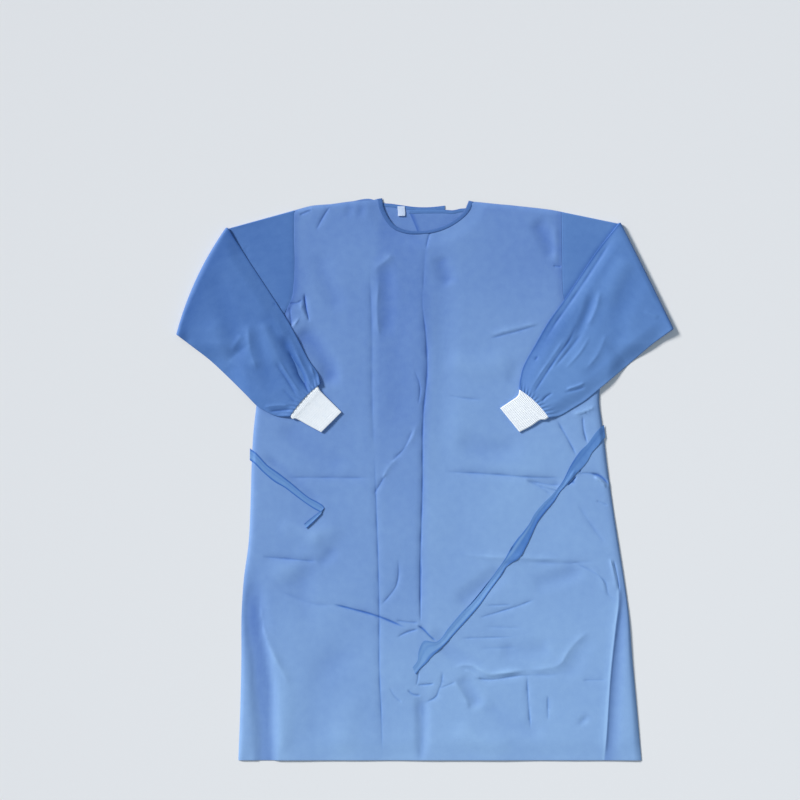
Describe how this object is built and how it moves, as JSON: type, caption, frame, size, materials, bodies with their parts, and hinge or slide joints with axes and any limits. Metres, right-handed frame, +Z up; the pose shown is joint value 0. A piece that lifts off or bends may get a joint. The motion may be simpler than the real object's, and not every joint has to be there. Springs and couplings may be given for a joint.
{
  "type": "isolation gown",
  "caption": "Disposable blue nonwoven isolation gown laid flat on its back, sleeves folded in over the front, with knit cuffs, bound neck and waist ties.",
  "frame": {"origin": "on the surface that the gown rests on, under the middle of its outline from above", "axes": "+Z up out of the surface, +Y towards the neck, +X to the side that is on the right from above"},
  "size_m": [1.0178, 1.1519, 0.0114],
  "materials": {
    "gown_cloth": "thin polypropylene nonwoven, soft matt with a faint sheen",
    "sleeve_cloth": "the same nonwoven in two layers, so a deeper blue",
    "binding_cloth": "folded nonwoven tape, sewn through several layers",
    "tie_cloth": "flat folded nonwoven strip",
    "knit_cuff": "white fine rib knit, matt",
    "blank_label": "blank white woven tape"
  },
  "bodies": {
    "root": {"front": "gown_cloth", "back_left": "gown_cloth", "back_right": "gown_cloth", "sleeve_left": "sleeve_cloth", "sleeve_right": "sleeve_cloth", "cuff_left": "knit_cuff", "cuff_right": "knit_cuff", "binding_front": "binding_cloth", "binding_back_left": "binding_cloth", "binding_back_right": "binding_cloth", "tie_left": "tie_cloth", "tie_right": "tie_cloth", "neck_label": "blank_label"}
  },
  "joints": []
}
